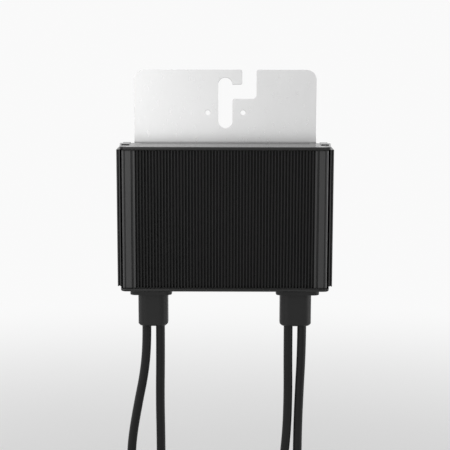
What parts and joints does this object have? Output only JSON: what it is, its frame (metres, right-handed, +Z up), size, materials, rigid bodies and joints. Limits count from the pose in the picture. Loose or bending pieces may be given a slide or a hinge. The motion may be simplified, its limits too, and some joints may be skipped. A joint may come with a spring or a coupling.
{
  "type": "solar power optimizer",
  "caption": "Flat black power converter for a solar panel, with a finely ribbed front, a bright sheet bracket with a hook slot, cable glands below and leads with push-in connectors.",
  "frame": {"origin": "centre of the hook slot's upper round end on the bracket's rear face, where the mounting bolt sits", "axes": "+Z up, +X to the right seen from the ribbed front, +Y from the front to the rear, out of the bracket's rear face"},
  "size_m": [0.144, 0.03, 0.4371],
  "materials": {
    "sheet_metal": "satin",
    "black_aluminium": "satin black anodised",
    "black_plastic": "semi-gloss",
    "gland_plastic": "fine grain",
    "connector_plastic": "fine grain",
    "cable_jacket": "matt",
    "seal_rubber": "matt",
    "screw_steel": "zinc plated",
    "spring_steel": "rolled",
    "board_laminate": "varnished",
    "chip_resin": "moulded",
    "ferrite": "fired",
    "copper_wire": "enamelled",
    "capacitor_case": "moulded",
    "pad_silicone": "soft",
    "insulation_film": "film",
    "tinned_copper": "tinned"
  },
  "bodies": {
    "root": {"mounting_bracket": "sheet_metal", "bracket_screws": "screw_steel", "rear_tray": "black_aluminium", "front_cover": "black_aluminium", "top_end_cap": "black_plastic", "bottom_end_cap": "black_plastic", "top_end_cap_screws": "screw_steel", "bottom_end_cap_screws": "screw_steel", "top_gasket": "seal_rubber", "bottom_gasket": "seal_rubber", "input_gland": "gland_plastic", "output_gland": "gland_plastic", "input_gland_seal": "seal_rubber", "output_gland_seal": "seal_rubber", "input_gland_clip": "spring_steel", "output_gland_clip": "spring_steel", "circuit_board": "board_laminate", "insulating_sheet": "insulation_film", "thermal_pad": "pad_silicone", "inductor_core_front": "ferrite", "inductor_core_rear": "ferrite", "inductor_winding": "copper_wire", "control_chip": "chip_resin", "line_transformer": "ferrite", "current_shunt": "tinned_copper", "bypass_diode": "chip_resin", "coil_tie": "connector_plastic", "pin_contacts": "tinned_copper", "sleeve_contacts": "tinned_copper", "output_cable_coil": "cable_jacket", "output_cable_2_end": "cable_jacket", "power_transistor_1": "chip_resin", "power_transistor_2": "chip_resin", "power_transistor_3": "chip_resin", "power_transistor_4": "chip_resin", "input_capacitor_1": "capacitor_case", "input_cable_1": "cable_jacket", "input_cable_1_stub": "cable_jacket", "input_cable_1_terminal": "tinned_copper", "input_connector_1_nut": "connector_plastic", "input_connector_1_body": "connector_plastic", "input_capacitor_2": "capacitor_case", "input_cable_2": "cable_jacket", "input_cable_2_stub": "cable_jacket", "input_cable_2_terminal": "tinned_copper", "input_connector_2_nut": "connector_plastic", "input_connector_2_body": "connector_plastic", "output_capacitor_1": "capacitor_case", "output_cable_1": "cable_jacket", "output_cable_1_stub": "cable_jacket", "output_cable_1_terminal": "tinned_copper", "output_connector_1_nut": "connector_plastic", "output_connector_1_body": "connector_plastic", "output_capacitor_2": "capacitor_case", "output_cable_2": "cable_jacket", "output_cable_2_stub": "cable_jacket", "output_cable_2_terminal": "tinned_copper", "output_connector_2_nut": "connector_plastic", "output_connector_2_body": "connector_plastic"}
  },
  "joints": []
}
